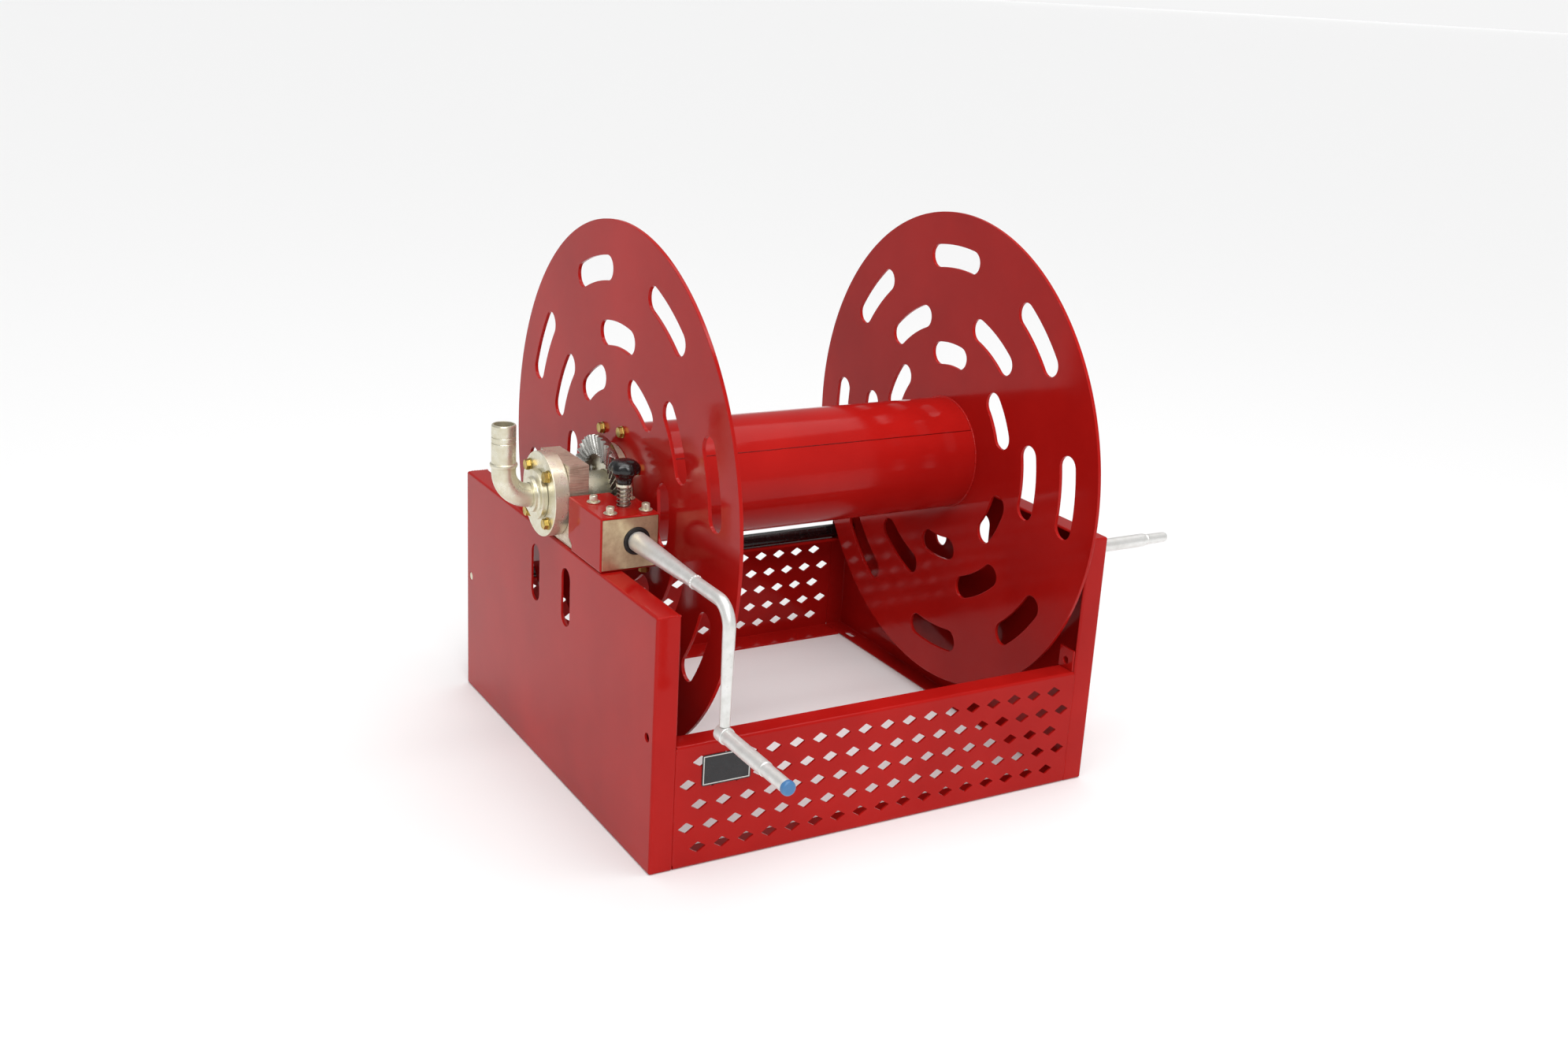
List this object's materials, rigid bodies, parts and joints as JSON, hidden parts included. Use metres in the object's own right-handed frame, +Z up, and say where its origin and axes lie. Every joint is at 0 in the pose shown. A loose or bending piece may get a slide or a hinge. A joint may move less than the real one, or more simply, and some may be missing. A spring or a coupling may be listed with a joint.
{
  "type": "fire hose reel",
  "caption": "Fire hose reel: perforated steel frame, slotted drum on a hollow water shaft, swivel inlet and a geared hand crank.",
  "frame": {"origin": "on the floor under the middle of the overall box of the reel with its crank, inlet and lock pin", "axes": "+X along the drum's axis from the crank's gearbox towards the lock pin, -Y out of the perforated front panel on the crank's side, +Z up"},
  "size_m": [0.9356, 0.9406, 0.772],
  "materials": {
    "red_enamel": "glossy red enamel over folded steel",
    "zinc_steel": "machined steel with pale zinc plating",
    "gear_steel": "cut gear steel, lightly oiled",
    "silver_aluminium": "satin silver metal",
    "gold_zinc": "yellow passivated zinc on steel bolts",
    "black_phenolic": "moulded black plastic, glossy",
    "black_plate": "black printed plate with a white border and no words",
    "black_rubber": "moulded seal rubber",
    "bearing_bronze": "turned bearing bronze",
    "blue_plastic": "blue moulded end cap"
  },
  "bodies": {
    "frame": {"left_side_panel": "red_enamel", "right_side_panel": "red_enamel", "front_panel": "red_enamel", "back_panel": "red_enamel", "corner_lug": "red_enamel", "name_plate": "black_plate", "roller_shaft": "zinc_steel", "left_bearing_block": "zinc_steel", "left_bearing_bush": "bearing_bronze", "right_bearing_block": "zinc_steel", "right_bearing_bush": "bearing_bronze", "rotary_flange": "zinc_steel", "rotary_cover": "zinc_steel", "joint_seal": "black_rubber", "joint_bolt_1": "gold_zinc", "joint_bolt_2": "gold_zinc", "joint_bolt_3": "gold_zinc", "joint_bolt_4": "gold_zinc", "inlet_elbow": "zinc_steel", "hose_tail": "zinc_steel", "gearbox_cover": "red_enamel", "gearbox_block": "zinc_steel", "cover_screw_1": "zinc_steel", "cover_screw_2": "zinc_steel", "cover_screw_3": "zinc_steel", "cover_screw_4": "zinc_steel", "shaft_seal": "black_rubber", "lock_pin_guide": "zinc_steel"},
    "drum": {"drum_tube": "red_enamel", "left_disc": "red_enamel", "right_disc": "red_enamel", "left_end_plate": "red_enamel", "right_end_plate": "red_enamel", "drum_shaft_left": "zinc_steel", "drum_shaft_right": "zinc_steel", "crown_gear": "gear_steel", "gear_hub": "zinc_steel", "outlet_nipple": "zinc_steel", "disc_bolt_1": "gold_zinc", "disc_bolt_2": "gold_zinc", "disc_bolt_3": "gold_zinc", "disc_bolt_4": "gold_zinc", "disc_bolt_5": "gold_zinc", "disc_bolt_6": "gold_zinc", "disc_bolt_7": "gold_zinc", "disc_bolt_8": "gold_zinc"},
    "roller": {"guide_roller": "black_phenolic"},
    "crank": {"crank_spindle": "silver_aluminium", "pinion": "gear_steel", "crank_arm": "silver_aluminium", "crank_eye": "silver_aluminium", "grip_pin": "zinc_steel"},
    "grip": {"grip_sleeve": "silver_aluminium", "grip_cap": "blue_plastic"},
    "plunger": {"lock_plunger": "zinc_steel", "plunger_knob": "black_phenolic", "plunger_spring": "zinc_steel"},
    "lock": {"lock_pin": "silver_aluminium"}
  },
  "joints": [
    {"name": "drum_spin", "type": "hinge", "parent": "frame", "child": "drum", "pos_m": [-0.0332, 0.1083, 0.41], "axis": [1, 0, 0], "continuous": true},
    {"name": "roller_spin", "type": "hinge", "parent": "frame", "child": "roller", "pos_m": [-0.0332, 0.4243, 0.184], "axis": [1, 0, 0], "continuous": true},
    {"name": "crank_spin", "type": "hinge", "parent": "frame", "child": "crank", "pos_m": [-0.3305, -0.0567, 0.387], "axis": [0, 1, 0], "continuous": true},
    {"name": "grip_spin", "type": "hinge", "parent": "crank", "child": "grip", "pos_m": [-0.3305, -0.322, 0.2245], "axis": [0, 1, 0], "continuous": true},
    {"name": "plunger_slide", "type": "slide", "parent": "frame", "child": "plunger", "axis": [0, 0, 1], "range_m": [-0.005, 0], "stiffness_N_per_m": 800, "springref_m": 0.004, "deforming": ["plunger_spring"]},
    {"name": "lock_pin_slide", "type": "slide", "parent": "frame", "child": "lock", "axis": [1, 0, 0], "range_m": [-0.012, 0]}
  ],
  "couplings": [
    {"joint": "crank_spin", "follows": "drum_spin", "ratio": 4.1}
  ]
}
